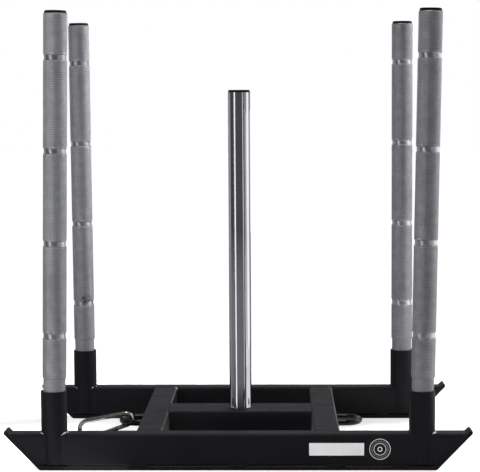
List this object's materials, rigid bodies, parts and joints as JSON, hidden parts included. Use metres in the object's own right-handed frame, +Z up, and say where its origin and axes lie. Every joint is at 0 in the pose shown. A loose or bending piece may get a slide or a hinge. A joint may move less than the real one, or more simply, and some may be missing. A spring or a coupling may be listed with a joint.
{
  "type": "push sled",
  "caption": "Weighted push sled: steel frame on two skids with loose knurled push uprights, a chrome centre post for plates, tow loops and a snap hook.",
  "frame": {"origin": "on the ground plane, under the middle of the frame and of its centre post", "axes": "+X along the skids towards the rear, the end without the snap hook; +Y to the right skid; +Z up"},
  "size_m": [0.9576, 0.5984, 0.9365],
  "materials": {
    "powder_coat": "black powder coat with a fine grain",
    "sole_steel": "black powder coat, rubbed underneath",
    "knurled_steel": "grey steel with fine knurling and smooth bands",
    "chrome_post": "polished chrome",
    "plug_plastic": "black moulded plastic",
    "hook_steel": "bright zinc-plated steel"
  },
  "bodies": {
    "frame": {"skid_left": "powder_coat", "sole_left": "sole_steel", "skid_right": "powder_coat", "sole_right": "sole_steel", "socket_front_left": "powder_coat", "socket_rear_left": "powder_coat", "socket_front_right": "powder_coat", "socket_rear_right": "powder_coat", "cross_beam_front": "powder_coat", "tow_loop_front": "powder_coat", "cross_beam_rear": "powder_coat", "tow_loop_rear": "powder_coat", "centre_beam": "powder_coat", "centre_post": "chrome_post", "centre_post_cap": "plug_plastic"},
    "upright_front_left": {"upright_front_left": "knurled_steel", "upright_cap_front_left": "plug_plastic", "upright_foot_front_left": "plug_plastic"},
    "upright_rear_left": {"upright_rear_left": "knurled_steel", "upright_cap_rear_left": "plug_plastic", "upright_foot_rear_left": "plug_plastic"},
    "upright_front_right": {"upright_front_right": "knurled_steel", "upright_cap_front_right": "plug_plastic", "upright_foot_front_right": "plug_plastic"},
    "upright_rear_right": {"upright_rear_right": "knurled_steel", "upright_cap_rear_right": "plug_plastic", "upright_foot_rear_right": "plug_plastic"},
    "snap_hook": {"snap_hook_body": "hook_steel", "snap_hook_rivet": "hook_steel"},
    "snap_hook_gate": {"snap_hook_gate": "hook_steel"}
  },
  "joints": [
    {"name": "upright_front_left_lift", "type": "slide", "parent": "frame", "child": "upright_front_left", "axis": [0.0172, 0, 0.9999], "range_m": [0, 0.17]},
    {"name": "upright_rear_left_lift", "type": "slide", "parent": "frame", "child": "upright_rear_left", "axis": [0.0172, 0, 0.9999], "range_m": [0, 0.17]},
    {"name": "upright_front_right_lift", "type": "slide", "parent": "frame", "child": "upright_front_right", "axis": [-0.006, 0, 1], "range_m": [0, 0.17]},
    {"name": "upright_rear_right_lift", "type": "slide", "parent": "frame", "child": "upright_rear_right", "axis": [-0.0009, 0, 1], "range_m": [0, 0.17]},
    {"name": "snap_hook_swing", "type": "hinge", "parent": "frame", "child": "snap_hook", "pos_m": [-0.2628, 0, 0.0465], "axis": [0, 1, 0], "range_deg": [0, 135]},
    {"name": "snap_hook_gate_hinge", "type": "hinge", "parent": "snap_hook", "child": "snap_hook_gate", "pos_m": [-0.26755, 0, 0.03019], "axis": [0, 1, 0], "range_deg": [0, 24], "stiffness_Nm_per_rad": 1, "springref_deg": -17.19}
  ]
}
